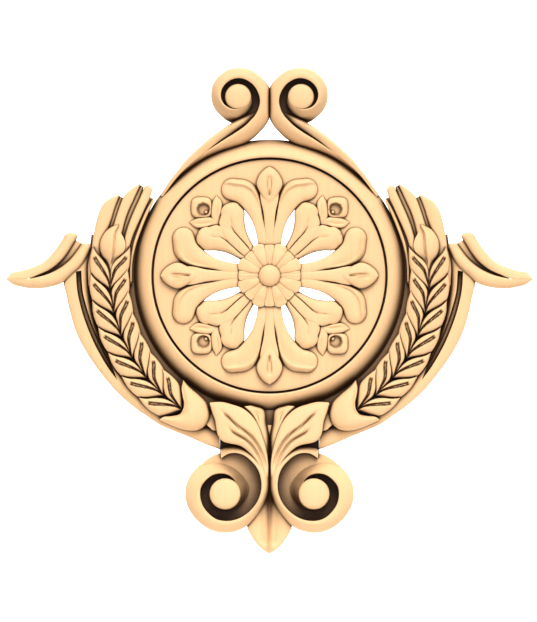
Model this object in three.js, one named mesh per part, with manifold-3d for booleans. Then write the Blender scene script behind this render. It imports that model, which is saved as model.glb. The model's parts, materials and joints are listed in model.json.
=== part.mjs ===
// A carved floral crest, the kind of onlay that is glued to a door head, a mirror frame or a cabinet.
// One board is carved into a round medallion with a pierced rosette, crowned by two volutes, held between
// two ears of wheat and fluted wings, and closed below by two leaf scrolls and a pointed leaf.
// Everything is drawn as a carver draws it: x to the right and y up on the drawing, z out of the back.
// The last lines turn the drawing upright, so that the flat back is the plane y = 0 and the face looks to -Y.
import * as THREE from "three";
import { mergeVertices } from "three/addons/utils/BufferGeometryUtils.js";
import Module from "manifold-3d";

// Driving dimensions, in millimetres
const CREST_WIDTH = 400; // across the tips of the two wings
const RELIEF_DEPTH = 24.5; // from the flat back to the highest lift
const RING_RADIUS = 103.2; // outside of the medallion's ring
const RING_BAND = 14.4; // from the fine groove to the outside of the ring
const RING_GROOVE_WIDTH = 1.9;
const RING_GROOVE_DEPTH = 3.6;
const HUB_RADIUS = 23.5;
const EAR_STALK_GAP = 18.6; // from the ring to the stalk of an ear of wheat
const GROUND_THICKNESS = 5.9; // the low ground beside and below the ring
const SLIT_FLOOR = 3.2; // wood left under the long slits of the wings
const VEIN_FLOOR = 14.5; // where the veins of the acanthus leaves bottom out, above the back
const PLANED_OFF = 2; // every stroke starts this far behind the back, which is planed flat at the end

// The free carving is drawn on squared paper, 527 squares across the two wing tips, with the medallion's
// centre at zero. Lifts are shares of the relief depth, measured up from the back.
const UNIT = CREST_WIDTH / 527;
const REACH = CREST_WIDTH / 2 / UNIT;
const RING = RING_RADIUS / UNIT;
const PANEL = (RING_RADIUS - RING_BAND) / UNIT;
const HUB = HUB_RADIUS / UNIT;
const GROUND_LIFT = GROUND_THICKNESS / RELIEF_DEPTH;

// On the paper the ring has this radius and the panel that one. Where the real ones differ, the carving
// outside the ring is spread between it and the wing tips, and the rosette is fitted to the panel.
const [PAPER_RING, PAPER_PANEL] = [136, 117];
const PAPER_HOLE = 74; // the opening of the medallion's turning, hidden under the rosette

const WOOD = { color: 0xf0c48a, roughness: 0.55, metalness: 0 };

const wasm = await Module();
wasm.setup();

const radians = (degrees) => (degrees * Math.PI) / 180;

// A point of the drawing at an angle and a distance from the medallion's centre.
const polar = (degrees, radius) => [radius * Math.cos(radians(degrees)), radius * Math.sin(radians(degrees))];

// Sections across a stroke run from -1 on its left edge to 1 on its right edge.
const broadSection = [-1, -0.65, 0, 0.65, 1];
const plainSection = [-1, -0.5, 0.5, 1];
const keenSection = [-1, 0, 1];

// Crowns give the share of a stroke's lift at a place across it.
const dome = (edge) => (s) => edge + (1 - edge) * Math.sqrt(Math.max(0, 1 - s * s));
const ridge = (edge) => (s) => edge + (1 - edge) * (1 - Math.abs(s));
const hollow = (edge, dip) => (s) => dome(edge)(s) - dip * Math.cos((s * Math.PI) / 2) ** 2;

// One value of the smooth curve through the knots, component by component (Catmull-Rom).
function through(knots, share) {
  const last = knots.length - 1;
  const at = Math.min(share * last, last - 1e-9);
  const i = Math.floor(at);
  const t = at - i;
  const [a, b, c, d] = [i - 1, i, i + 1, i + 2].map((k) => knots[Math.min(Math.max(k, 0), last)]);
  return b.map((value, k) => {
    const [p, q, r, s] = [a[k], value, c[k], d[k]];
    return q + 0.5 * t * (r - p + t * (2 * p - 5 * q + 4 * r - s + t * (3 * (q - r) + s - p)));
  });
}

// The stations of a stroke: its place, direction, half width, lift and how far round its end it lies.
function stations(knots, steps, roundStart, roundEnd) {
  const made = [];
  const nearby = 1e-3;
  for (let i = 0; i <= steps; i++) {
    const share = i / steps;
    const [x, y, half, lift] = through(knots, share);
    const [x0, y0] = through(knots, Math.max(share - nearby, 0));
    const [x1, y1] = through(knots, Math.min(share + nearby, 1));
    const length = Math.hypot(x1 - x0, y1 - y0);
    const ahead = [(x1 - x0) / length, (y1 - y0) / length];
    made.push({ x, y, half: Math.max(half, 0), lift, ahead, turn: 0 });
  }
  const rounded = (from, sign) =>
    [50, 90].map((degrees) => {
      const turn = radians(degrees);
      const out = sign * from.half * Math.sin(turn);
      const half = degrees === 90 ? 0 : from.half * Math.cos(turn);
      return { ...from, x: from.x + out * from.ahead[0], y: from.y + out * from.ahead[1], half, turn };
    });
  if (roundStart) made.unshift(...rounded(made[0], -1).reverse());
  if (roundEnd) made.push(...rounded(made[made.length - 1], 1));
  return made;
}

// A closed solid from rings of points that follow each other, capped at both ends.
function skin(rings) {
  const count = rings[0].length;
  const positions = rings.flat(2);
  const faces = [];
  for (let i = 0; i + 1 < rings.length; i++) {
    for (let k = 0; k < count; k++) {
      const [a, b] = [i * count + k, i * count + ((k + 1) % count)];
      faces.push(a, b, b + count, a, b + count, a + count);
    }
  }
  const end = (rings.length - 1) * count;
  for (let k = 1; k + 1 < count; k++) {
    faces.push(0, k + 1, k);
    faces.push(end, end + k, end + k + 1);
  }
  const geometry = new THREE.BufferGeometry();
  geometry.setAttribute("position", new THREE.Float32BufferAttribute(positions, 3));
  geometry.setIndex(faces);
  return geometry;
}

// A carved stroke: knots are [x, y, half width, lift], and the section rises by its crown from the flat back.
function stroke(knots, options = {}) {
  const { steps = 6, section = broadSection, crown = dome(0.35), roundStart, roundEnd } = options;
  const rings = stations(knots, steps, roundStart, roundEnd).map(({ x, y, half, lift, ahead, turn }) => {
    const place = (s, z) => [(x + s * half * ahead[1]) * UNIT, (y - s * half * ahead[0]) * UNIT, z];
    const front = section.map((s) => {
      const across = Math.sign(s) * Math.sqrt(Math.sin(turn) ** 2 + (s * Math.cos(turn)) ** 2);
      return place(s, lift * RELIEF_DEPTH * crown(half ? across : 1));
    });
    return [...front, place(1, -PLANED_OFF), place(-1, -PLANED_OFF)];
  });
  return skin(rings);
}

// A cutter for a slit: open above the carving, with a floor that narrows to half its width.
function slit(knots, floor, steps = 8) {
  const over = RELIEF_DEPTH * 1.5;
  const rings = stations(knots, steps).map(({ x, y, half, ahead }) => {
    const place = (s, z) => [(x + s * half * ahead[1]) * UNIT, (y - s * half * ahead[0]) * UNIT, z];
    return [place(-1, over), place(1, over), place(0.5, floor), place(-0.5, floor)];
  });
  return skin(rings);
}

// A turned solid about an upright axis at a place of the drawing, from [radius, lift] points down to the back.
function turned(profile, sides, [x, y] = [0, 0]) {
  const points = profile.map(([radius, lift]) => {
    return new THREE.Vector2(radius * UNIT, lift ? lift * RELIEF_DEPTH : -PLANED_OFF);
  });
  return new THREE.LatheGeometry(points, sides)
    .rotateX(Math.PI / 2)
    .translate(x * UNIT, y * UNIT, 0);
}

const button = (radius, lift, place, sides = 12) => {
  const rim = [0, 35, 70].map(radians);
  const cap = rim.map((a) => [radius * Math.cos(a), lift * (0.8 + 0.2 * Math.sin(a))]);
  return turned([[0, 0], [radius, 0], ...cap, [0, lift]], sides, place);
};

function solid(geometry) {
  const bare = geometry.index ? geometry.clone() : geometry;
  bare.deleteAttribute("normal");
  bare.deleteAttribute("uv");
  const merged = mergeVertices(bare, 1e-4);
  const index = merged.index.array;
  const kept = [];
  for (let i = 0; i < index.length; i += 3) {
    const [a, b, c] = index.slice(i, i + 3);
    if (a !== b && b !== c && c !== a) kept.push(a, b, c);
  }
  return new wasm.Manifold(
    new wasm.Mesh({
      numProp: 3,
      vertProperties: merged.attributes.position.array,
      triVerts: new Uint32Array(kept),
    }),
  );
}

function mirrored(geometry) {
  const copy = geometry.clone().scale(-1, 1, 1);
  const index = copy.index.array;
  for (let i = 0; i < index.length; i += 3) [index[i + 1], index[i + 2]] = [index[i + 2], index[i + 1]];
  return copy;
}

// The paper's carving, spread from the ring as it is to the wing tips.
function outside(geometries) {
  const spread = (REACH - RING) / (REACH - PAPER_RING);
  for (const { attributes } of geometries) {
    const place = attributes.position;
    for (let i = 0; i < place.count; i++) {
      const [x, y] = [place.getX(i), place.getY(i)];
      const radius = Math.hypot(x, y) / UNIT;
      const share = (RING + (radius - PAPER_RING) * spread) / radius;
      place.setXY(i, x * share, y * share);
    }
  }
  return geometries;
}

// The paper's rosette, fitted to the panel as it is.
const inside = (geometries) => geometries.map((g) => g.scale(PANEL / PAPER_PANEL, PANEL / PAPER_PANEL, 1));

const bothSides = (geometries) => geometries.flatMap((g) => [g, mirrored(g)]);
const turnedAbout = (geometries, degrees) =>
  degrees.flatMap((angle) => geometries.map((g) => g.clone().rotateZ(radians(angle))));

// The ring and the panel behind the rosette are one turning with a quarter-round outside.
function medallion() {
  const grooveHalf = RING_GROOVE_WIDTH / 2 / UNIT;
  const [panelLift, panelEdge, ringLift, ringEdge] = [0.5, 0.44, 0.57, 0.1];
  const grooveFloor = panelEdge - RING_GROOVE_DEPTH / RELIEF_DEPTH;
  const hole = (PAPER_HOLE * PANEL) / PAPER_PANEL;
  const crest = PANEL + (RING - PANEL) * 0.26;
  const roll = [0, 30, 60, 90].map((a) => [
    crest + (RING - crest) * Math.cos(radians(a)),
    ringEdge + (ringLift - ringEdge) * Math.sin(radians(a)),
  ]);
  const outline = [
    [hole, 0],
    [RING, 0],
    ...roll,
    [PANEL + grooveHalf, ringLift - 0.03],
    [PANEL, grooveFloor],
    [PANEL - grooveHalf, panelEdge],
    [hole, panelLift],
    [hole, 0],
  ];
  return turned(outline, 40);
}

// One arm of the rosette: a stem that ends in a bud, between two spoon-shaped petals.
function fleur() {
  const stem = stroke(
    [
      [0, 24, 4.6, 0.66],
      [0, 50, 4.2, 0.68],
      [0, 70, 4.2, 0.68],
      [0, 79, 8.4, 0.7],
      [0, 89, 13, 0.72],
      [0, 99, 9.8, 0.68],
      [0, 108, 0, 0.6],
    ],
    { steps: 6, section: plainSection, crown: dome(0.72) },
  );
  const petal = stroke(
    [
      [-6.5, 24, 4.5, 0.62],
      [-9, 48, 6, 0.62],
      [-14, 66, 9, 0.64],
      [-23, 79.5, 11.5, 0.68],
      [-37, 85.6, 10.4, 0.68],
    ],
    { steps: 4, crown: hollow(0.8, 0.1), roundEnd: true },
  );
  return [stem, petal, mirrored(petal)];
}

// One leaf of the rosette: two lobes that part at a notch, drawn here as if it pointed up.
function lobedLeaf() {
  const lobe = stroke(
    [
      [3.4, 24, 4.2, 0.66],
      [6, 44, 6.4, 0.68],
      [11, 57, 11, 0.7],
      [14.6, 68, 14.4, 0.72],
    ],
    { steps: 3, crown: dome(0.72), roundEnd: true },
  );
  return [lobe, mirrored(lobe)];
}

// The small square flower behind each notch, between two pointed leaves.
function cornerFlower() {
  const leaflet = stroke(
    [
      [1.5, 76, 3, 0.58],
      [9, 85, 5.6, 0.62],
      [15, 91, 4.6, 0.6],
      [18.8, 95.2, 0, 0.52],
    ],
    { steps: 4, section: keenSection, crown: dome(0.8) },
  );
  const bowl = [[0, 0], [12.6, 0], [12.6, 0.5], [10, 0.6], [6.4, 0.6], [4.5, 0.5], [0, 0.48]];
  const flower = turned(bowl, 4, [0, 96.5]);
  return [leaflet, mirrored(leaflet), flower];
}

// The hub has eight broad lobes, eight narrow ribs between them and a round button.
function hub() {
  const base = turned([[0, 0], [HUB - 1, 0], [HUB - 1, 0.66], [0, 0.74]], 16);
  const lobe = stroke(
    [
      [0, 8, 2.4, 0.8],
      [0, HUB - 7, 7, 0.82],
    ],
    { steps: 1, section: keenSection, crown: dome(0.8), roundEnd: true },
  );
  const rib = stroke(
    [
      [0, 8, 1.6, 0.78],
      [0, HUB, 3.6, 0.78],
    ],
    { steps: 1, section: keenSection, crown: dome(0.8) },
  );
  const eighths = [0, 45, 90, 135, 180, 225, 270, 315];
  return [
    base,
    ...turnedAbout([rib], eighths),
    ...turnedAbout([lobe], eighths.map((a) => a + 22.5)),
    button(11.4, 0.96, [0, 0]),
  ];
}

// A scroll of the crown: a tail that climbs along the ring, a roll that winds round and the button in its eye.
function crownScroll() {
  const tail = stroke(
    [
      [-114, 74, 0.6, 0.3],
      [-94, 101, 5, 0.42],
      [-70, 123, 9, 0.5],
      [-45, 139, 11, 0.5],
      [-24, 153, 9, 0.42],
    ],
    { steps: 5, section: plainSection, crown: hollow(0.9, 0.12) },
  );
  const roll = stroke(
    [
      [-78, 114, 2.5, 0.45],
      [-50, 128, 5, 0.56],
      [-27, 139, 7.5, 0.68],
      [-10, 154, 8, 0.78],
      [-4.7, 177, 5.2, 0.82],
      [-12, 196, 5.4, 0.82],
      [-31, 202.4, 5.6, 0.82],
      [-48, 195, 5.6, 0.82],
      [-53.6, 178, 5.6, 0.82],
      [-47, 163, 6, 0.8],
      [-33, 161.5, 6.5, 0.78],
      [-24, 170, 5, 0.76],
    ],
    { steps: 18, section: plainSection, crown: dome(0.7) },
  );
  const floor = turned([[0, 0], [23, 0], [23, 0.36], [0, 0.36]], 10, [-31, 178.5]);
  return [tail, roll, floor, button(13, 0.88, [-31, 178.5])];
}

// A scroll of the foot: a leaf above, then a roll that winds outwards and down round its button.
function footScroll() {
  const leaf = stroke(
    [
      [-57, -129, 4, 0.7],
      [-47, -137, 15, 0.8],
      [-35, -147, 21, 0.84],
      [-23, -161, 18, 0.86],
      [-13, -176, 9, 0.88],
      [-6.6, -192, 5.6, 0.88],
    ],
    { steps: 6, crown: dome(0.8) },
  );
  const roll = stroke(
    [
      [-11, -176, 8, 0.86],
      [-4.6, -204, 4.8, 0.88],
      [-7.6, -226, 5.2, 0.88],
      [-22, -244, 6, 0.88],
      [-43, -251, 6.4, 0.88],
      [-63, -245, 7.2, 0.9],
      [-75.6, -229, 7.8, 0.92],
      [-75.6, -208, 8, 0.92],
      [-63, -193.6, 7.8, 0.92],
      [-45, -190.6, 7.4, 0.92],
      [-31, -200, 8, 0.92],
      [-29, -216, 8, 0.92],
      [-36, -227, 6, 0.92],
    ],
    { steps: 20, section: plainSection, crown: dome(0.7) },
  );
  const floor = turned([[0, 0], [31, 0], [31, 0.4], [0, 0.4]], 10, [-38, -215]);
  const lobe = stroke(
    [
      [-48, -181, 1, 0.5],
      [-40, -174, 8, 0.62],
      [-22, -180, 8, 0.66],
    ],
    { steps: 4, section: plainSection, crown: dome(0.8), roundStart: true },
  );
  return [leaf, roll, floor, lobe, button(15.6, 0.98, [-44, -219])];
}

// Three flutes and a thin rib stand side by side on the shoulder, all struck from the medallion's centre.
function flutes() {
  const flute = (inner, outer, low, high, lift) => {
    const [middle, half] = [(inner + outer) / 2, (outer - inner) / 2];
    const knots = [0, 0.5, 1].map((share) => [...polar(low + (high - low) * share, middle), half, lift]);
    return stroke(knots, { steps: 3, section: keenSection, crown: dome(0.7), roundEnd: true });
  };
  return [
    flute(168.5, 181.5, 188, 155.5, 0.5),
    flute(156, 166.5, 180, 149.5, 0.52),
    flute(143.5, 153.5, 176, 146.6, 0.54),
    flute(137.5, 141.5, 172, 149, 0.42),
  ];
}

// The wing tip curls out from the shoulder in two lobes with a slit between them.
function wingTip() {
  const upper = stroke(
    [
      [-260, -4, 3.5, 0.42],
      [-249.5, -0.5, 5, 0.46],
      [-230, 5.5, 6.6, 0.5],
      [-217, 13, 8.4, 0.54],
      [-206.5, 25, 10, 0.56],
      [-199, 36, 7, 0.54],
    ],
    { steps: 5, section: plainSection, crown: dome(0.6), roundStart: true, roundEnd: true },
  );
  const lower = stroke(
    [
      [-253, -6.6, 3, 0.42],
      [-240, -8.6, 4.4, 0.46],
      [-224, -7, 6.6, 0.5],
      [-208, 0, 9, 0.52],
      [-195, 12, 10.5, 0.54],
      [-183.5, 27.5, 7.5, 0.52],
    ],
    { steps: 5, section: plainSection, crown: dome(0.6), roundStart: true, roundEnd: true },
  );
  return [upper, lower];
}

// Two veins are cut into each acanthus leaf.
const leafVeins = () =>
  [
    [[-49, -136], [-33, -145], [-20, -158], [-10.5, -176]],
    [[-45, -147], [-33, -156], [-22, -169], [-14, -180]],
  ].map((places) => slit(places.map(([x, y], k) => [x, y, [0.3, 1.2, 1.3, 0.3][k]]), VEIN_FLOOR, 3));

const wingTipSlit = () =>
  slit(
    [
      [-243, -3.6, 0.05],
      [-230, -0.2, 1.3],
      [-212, 9.6, 2.6],
      [-200, 21, 3.2],
      [-187, 42, 4],
    ],
    SLIT_FLOOR,
  );

// The crescent sweeps from the wing tip round behind the ear of wheat to the foot.
const crescent = () =>
  stroke(
    [
      [170, 178, 12],
      [180, 186, 14],
      [190, 187.5, 15],
      [204, 183, 17],
      [218, 176, 18],
      [232, 168, 18],
      [246, 164, 17],
      [262, 163, 14],
    ].map(([angle, radius, half]) => [...polar(angle, radius), half, 0.38]),
    { steps: 9, section: plainSection, crown: dome(0.6) },
  );

const crescentSlit = () =>
  slit(
    [
      [174, 190, 2.6],
      [184, 190.6, 2.6],
      [194, 190.4, 2.4],
      [205, 187.2, 1.6],
      [214.5, 184.2, 0.05],
    ].map(([angle, radius, half]) => [...polar(angle, radius), half]),
    SLIT_FLOOR,
  );

// An ear of wheat: pairs of grains at an even pitch on an arc, the lower ones lying over the upper ones.
function ear() {
  const stalk = PAPER_RING + EAR_STALK_GAP / UNIT;
  const pairs = 7;
  const [lowest, pitch] = [237.4, 8.75];
  const grain = (foot, side) =>
    stroke(
      [
        [...polar(foot, stalk + side), 1, 0.5],
        [...polar(foot - 4.2, stalk + side * 8), 7.5, 0.62],
        [...polar(foot - 9, stalk + side * 13), 8, 0.7],
        [...polar(foot - 15, stalk + side * 18.6), 0, 0.62],
      ],
      { steps: 3, section: keenSection, crown: dome(0.72) },
    );
  const grains = Array.from({ length: pairs }, (_, k) => lowest - k * pitch).flatMap((foot) => [
    grain(foot, 1),
    grain(foot, -1),
  ]);
  const bud = stroke(
    [
      [-159.5, 8, 1, 0.5],
      [-158, 20, 9, 0.6],
      [-157, 31, 12.8, 0.68],
      [-156, 41, 9.6, 0.66],
      [-150, 51.5, 0.4, 0.56],
    ],
    { steps: 6, section: plainSection, crown: ridge(0.8) },
  );
  return [...grains, bud];
}

// The cup that the ear grows from: a round body with two horns that lap the lowest grains.
function cup() {
  const outerHorn = stroke(
    [
      [-67, -143, 10, 0.8],
      [-80, -147, 8.4, 0.8],
      [-95, -148.5, 5.4, 0.74],
      [-111, -143.5, 0, 0.62],
    ],
    { steps: 4, section: keenSection, crown: dome(0.7), roundStart: true },
  );
  const innerHorn = stroke(
    [
      [-68, -138, 10, 0.8],
      [-77, -129, 8, 0.8],
      [-83, -118, 4.6, 0.74],
      [-86, -105.5, 0, 0.62],
    ],
    { steps: 4, section: keenSection, crown: dome(0.7), roundStart: true },
  );
  return [outerHorn, innerHorn];
}

// The pointed leaf at the foot has a sharp middle ridge.
const footLeaf = () =>
  stroke(
    [
      [0, -205, 6, 0.5],
      [0, -232, 14, 0.5],
      [0, -250, 22, 0.48],
      [0, -260, 18.5, 0.44],
      [0, -270, 9.6, 0.4],
      [0, -278.5, 0, 0.34],
    ],
    { steps: 8, section: plainSection, crown: ridge(0.7) },
  );

// The small tongue that fills the gap between the two leaves, under the ring.
const tongue = () =>
  stroke(
    [
      [0, -128, 10, 0.4],
      [0, -150, 4, 0.5],
      [0, -166, 2, 0.45],
    ],
    { steps: 2, section: plainSection, crown: dome(0.8) },
  );

// The low ground that the ears and the leaves stand on, beside the ring and below it.
const ground = () => {
  const bed = (places) =>
    stroke(
      places.map((place) => [...place, GROUND_LIFT]),
      { steps: places.length - 1, section: [-1, 1], crown: () => 1 },
    );
  return [
    ...bothSides([
      bed([156, 160, 176, 198, 220, 238].map((angle, k) => [...polar(angle, 155), k ? 23 : 15])),
      bed([
        [-38, -160, 12],
        [-38, -190, 12],
      ]),
      bed([
        [-238, -2, 2],
        [-208, 12, 8],
        [-186, 24, 14],
        [-172, 34, 14],
      ]),
    ]),
    bed([
      [-62, -140, 16],
      [62, -140, 16],
    ]),
    bed([
      [0, -130, 24],
      [0, -232, 10],
    ]),
  ];
};

const quarters = [0, 90, 180, 270];
const diagonals = quarters.map((a) => a + 45);
const raised = [
  medallion(),
  ...hub(),
  ...inside([
    ...turnedAbout(fleur(), quarters),
    ...turnedAbout([...lobedLeaf(), ...cornerFlower()], diagonals),
  ]),
  ...outside([
    ...bothSides([
      ...crownScroll(),
      ...footScroll(),
      ...flutes(),
      ...wingTip(),
      crescent(),
      ...ear(),
      ...cup(),
    ]),
    footLeaf(),
    tongue(),
    ...ground(),
  ]),
];
const waste = new THREE.BoxGeometry(CREST_WIDTH * 2, CREST_WIDTH * 2, PLANED_OFF * 2);
waste.translate(0, 0, -PLANED_OFF);
const cut = [...outside(bothSides([wingTipSlit(), crescentSlit(), ...leafVeins()])), waste];

const blank = raised.map(solid).reduce((whole, piece) => whole.add(piece));
const carved = cut.map(solid).reduce((whole, tool) => whole.subtract(tool), blank);

const { vertProperties, triVerts } = carved.getMesh();
const geometry = new THREE.BufferGeometry();
geometry.setAttribute("position", new THREE.BufferAttribute(vertProperties, 3));
geometry.setIndex(new THREE.BufferAttribute(triVerts, 1));
geometry.computeVertexNormals();

const crest = new THREE.Mesh(geometry, new THREE.MeshStandardMaterial(WOOD));
crest.name = "floral_crest";
crest.rotation.x = Math.PI / 2; // the drawing stands up, its face to -Y

const part = new THREE.Group();
part.add(crest);

export default part;
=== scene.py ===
"""A carved floral crest in light wood, seen from straight in front over a plain pale ground.

The crest is one carving, so it is one mesh. Each form of the carving is a closed solid with a flat back,
worked out with numpy from a few knots, and the forms are joined and the slits cut with boolean modifiers.

The carving is drawn on squared paper, 527 squares across the wing tips, with the medallion's centre at zero,
x to the right and y up. Levels are shares of the relief's depth, measured up from the flat back.
"""

from __future__ import annotations

import enum
import json
import logging
import math
from dataclasses import dataclass, replace
from typing import Iterable, Sequence

import bpy
import numpy as np
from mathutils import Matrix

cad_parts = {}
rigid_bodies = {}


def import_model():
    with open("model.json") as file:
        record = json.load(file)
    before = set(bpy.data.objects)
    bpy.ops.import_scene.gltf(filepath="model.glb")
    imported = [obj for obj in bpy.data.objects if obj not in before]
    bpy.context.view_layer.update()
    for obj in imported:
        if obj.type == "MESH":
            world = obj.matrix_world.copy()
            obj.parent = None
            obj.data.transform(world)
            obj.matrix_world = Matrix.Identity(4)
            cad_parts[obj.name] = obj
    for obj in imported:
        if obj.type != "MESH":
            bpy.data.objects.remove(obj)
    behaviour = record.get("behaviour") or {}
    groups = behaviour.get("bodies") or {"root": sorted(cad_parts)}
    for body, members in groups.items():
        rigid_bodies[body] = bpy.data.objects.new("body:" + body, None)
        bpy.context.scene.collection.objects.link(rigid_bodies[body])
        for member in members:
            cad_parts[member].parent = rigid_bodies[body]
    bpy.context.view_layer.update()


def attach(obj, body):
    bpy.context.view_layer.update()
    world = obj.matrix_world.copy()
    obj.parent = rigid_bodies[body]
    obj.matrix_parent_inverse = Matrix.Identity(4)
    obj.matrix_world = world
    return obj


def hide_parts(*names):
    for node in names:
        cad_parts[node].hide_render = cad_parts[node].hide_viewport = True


log = logging.getLogger("crest")

# Driving sizes in metres: the width over the wing tips, the relief's depth, and what the plane takes off.
CREST_WIDTH = 0.400
RELIEF_DEPTH = 0.0245
PLANED_OFF = 0.002

# The squared paper: how many squares go across the wing tips, and the side of one in metres.
PAPER_SQUARES = 527
UNIT = CREST_WIDTH / PAPER_SQUARES

# Radii in squares.
RING_RADIUS = 136.0
PANEL_RADIUS = 117.0
HUB_RADIUS = 31.0

# Degrees round a rounded end at which its stations lie, and how far samples crowd towards a form's edges.
END_TURNS = (12, 24, 36, 48, 59, 69, 78, 85, 89.4)
CROWDING = 0.35

# Half widths in squares that no form and no line goes under, and the widths past which a step stays level.
THINNEST_FORM = 0.02
THINNEST_LINE = 0.05
STEP_REACH = 30

Point = tuple[float, float]
Spine = tuple[tuple[float, float, float], ...]
Track = float | tuple[float, ...]


class Side(enum.Enum):
    """Which half of the crest a form belongs to."""

    MIDDLE = "middle"
    BOTH = "both"


def hermite(knots: np.ndarray, at: np.ndarray, where: np.ndarray) -> np.ndarray:
    """Smooth curve through knots: cubic Hermite pieces, each knot's slope the mean of its two chords' slopes.

    Args:
        knots: Values at the knots, one row each.
        at: Increasing parameter of each knot.
        where: Parameters to read the curve at.

    Returns:
        One row per entry of where.
    """
    lean = np.diff(knots, axis=0) / np.diff(at)[:, None]
    slopes = np.vstack([lean[:1], (lean[:-1] + lean[1:]) / 2, lean[-1:]])
    i = np.clip(np.searchsorted(at, where, side="right") - 1, 0, len(at) - 2)
    step = (at[i + 1] - at[i])[:, None]
    t = ((where - at[i])[:, None]) / step
    a, b = knots[i], knots[i + 1]
    return (
        (2 * t**3 - 3 * t**2 + 1) * a
        + (t**3 - 2 * t**2 + t) * step * slopes[i]
        + (3 * t**2 - 2 * t**3) * b
        + (t**3 - t**2) * step * slopes[i + 1]
    )


def chords(points: Sequence[Sequence[float]]) -> np.ndarray:
    """Running length of the chords between points, of which the first two numbers are the place."""
    step = np.hypot(*np.diff(np.asarray(points, float)[:, :2], axis=0).T)
    return np.concatenate([[0.0], np.cumsum(np.maximum(step, 1e-6))])


def curve(points: Sequence[Sequence[float]], count: int, at: np.ndarray | None = None) -> np.ndarray:
    """Samples the smooth curve through points at even shares of a parameter, by default its chord length.

    Args:
        points: Knots, of which the first two numbers are the place.
        count: How many samples.
        at: Parameter of each knot, where it isn't the chord length.

    Returns:
        Array of count rows.
    """
    at = chords(points) if at is None else at
    return hermite(np.asarray(points, float), at, np.linspace(0.0, at[-1], count))


def track(values: Track, u: np.ndarray) -> np.ndarray:
    """Reads a value that changes along a form: the smooth curve through evenly spaced knots.

    Args:
        values: One number, or the knots.
        u: Shares along the form.

    Returns:
        The value at each share.
    """
    if isinstance(values, (int, float)):
        return np.full_like(u, float(values))
    knots = np.asarray(values, float)[:, None]
    return hermite(knots, np.linspace(0.0, 1.0, len(knots)), u)[:, 0]


def polar(degrees: float, radius: float) -> Point:
    """The point at an angle and a distance from the medallion's centre."""
    return (radius * math.cos(math.radians(degrees)), radius * math.sin(math.radians(degrees)))


def fade(u: np.ndarray, start: float, end: float, soft: float) -> np.ndarray:
    """Rises from 0 to 1 after start and falls back before end, each as the smooth step 3t^2 - 2t^3.

    Args:
        u: Shares along a form.
        start: Where the rise begins. At 0 there is none.
        end: Where the fall ends. At 1 there is none.
        soft: Length of the rise and of the fall.

    Returns:
        The strength at each share.
    """
    rise = np.clip((u - start) / soft, 0, 1) if start > 0 else np.ones_like(u)
    fall = np.clip((end - u) / soft, 0, 1) if end < 1 else np.ones_like(u)
    return (rise * rise * (3 - 2 * rise)) * (fall * fall * (3 - 2 * fall))


@dataclass(frozen=True)
class Line:
    """A fine groove or bead that runs along a form.

    Its height is rise * exp(-(d / width) ** sharp), where d is the distance across from its own path.
    """

    at: Track
    width: Track
    rise: float
    start: float = 0.0
    end: float = 1.0
    soft: float = 0.12
    sharp: float = 2.0

    def height(self, u: np.ndarray, s: np.ndarray, reach: np.ndarray) -> np.ndarray:
        """Height of the line over a form's grid.

        Args:
            u: Shares along the form, one column.
            s: Places across it, from -1 to 1.
            reach: Half width at each share, one column.

        Returns:
            Grid of heights as shares of the relief's depth.
        """
        flat = u[:, 0]
        width = np.maximum(track(self.width, flat), THINNEST_LINE)[:, None]
        distance = np.abs(s - track(self.at, flat)[:, None]) * reach / width
        strength = fade(flat, self.start, self.end, self.soft)[:, None]
        return self.rise * strength * np.exp(-(distance**self.sharp))


@dataclass(frozen=True)
class Step:
    """A step that runs along a form: right of its path the form stands higher.

    Its height is rise / (1 + exp(-d / width)), where d is the distance to the right of its own path.
    """

    at: Track
    width: Track
    rise: float
    start: float = 0.0
    end: float = 1.0
    soft: float = 0.12

    def height(self, u: np.ndarray, s: np.ndarray, reach: np.ndarray) -> np.ndarray:
        """Height of the step over a form's grid.

        Args:
            u: Shares along the form, one column.
            s: Places across it, from -1 to 1.
            reach: Half width at each share, one column.

        Returns:
            Grid of heights as shares of the relief's depth.
        """
        flat = u[:, 0]
        distance = (s - track(self.at, flat)[:, None]) * reach / track(self.width, flat)[:, None]
        strength = fade(flat, self.start, self.end, self.soft)[:, None]
        return self.rise * strength / (1 + np.exp(-np.clip(distance, -STEP_REACH, STEP_REACH)))


@dataclass(frozen=True)
class Section:
    """How a form rises from its two edges to its crest.

    With q the share of the way from the crest to an edge, the level is
    edge + (1 - edge) * (1 - q ** swell) ** (1 / swell), plus the lines. The form's lift multiplies it.
    """

    left: Track = 0.6
    right: Track = 0.6
    crest_at: Track = 0.0
    swell: Track = 2.0
    lines: tuple[Line | Step, ...] = ()

    def level(self, u: np.ndarray, s: np.ndarray, reach: np.ndarray, turn: np.ndarray) -> np.ndarray:
        """Share of the lift at each place of a form's grid.

        Round a rounded end q becomes the square root of sin(turn) ** 2 + (q * cos(turn)) ** 2, and the lines
        fade with cos(turn).

        Args:
            u: Shares along the form, one column.
            s: Places across it, from -1 to 1.
            reach: Half width at each share, one column.
            turn: How far round its rounded end each station lies, in radians, one column.

        Returns:
            Grid of levels.
        """
        flat = u[:, 0]
        crest = track(self.crest_at, flat)[:, None]
        toward = np.where(s < crest, (crest - s) / (1 + crest), (s - crest) / (1 - crest))
        away = np.sqrt(np.sin(turn) ** 2 + (toward * np.cos(turn)) ** 2)
        edge = np.where(s < crest, track(self.left, flat)[:, None], track(self.right, flat)[:, None])
        swell = track(self.swell, flat)[:, None]
        dome = np.clip(1 - np.clip(away, 0, 1) ** swell, 0, 1) ** (1 / swell)
        level = edge + (1 - edge) * dome
        for line in self.lines:
            level = level + line.height(u, s, reach) * np.cos(turn)
        return level


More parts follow.
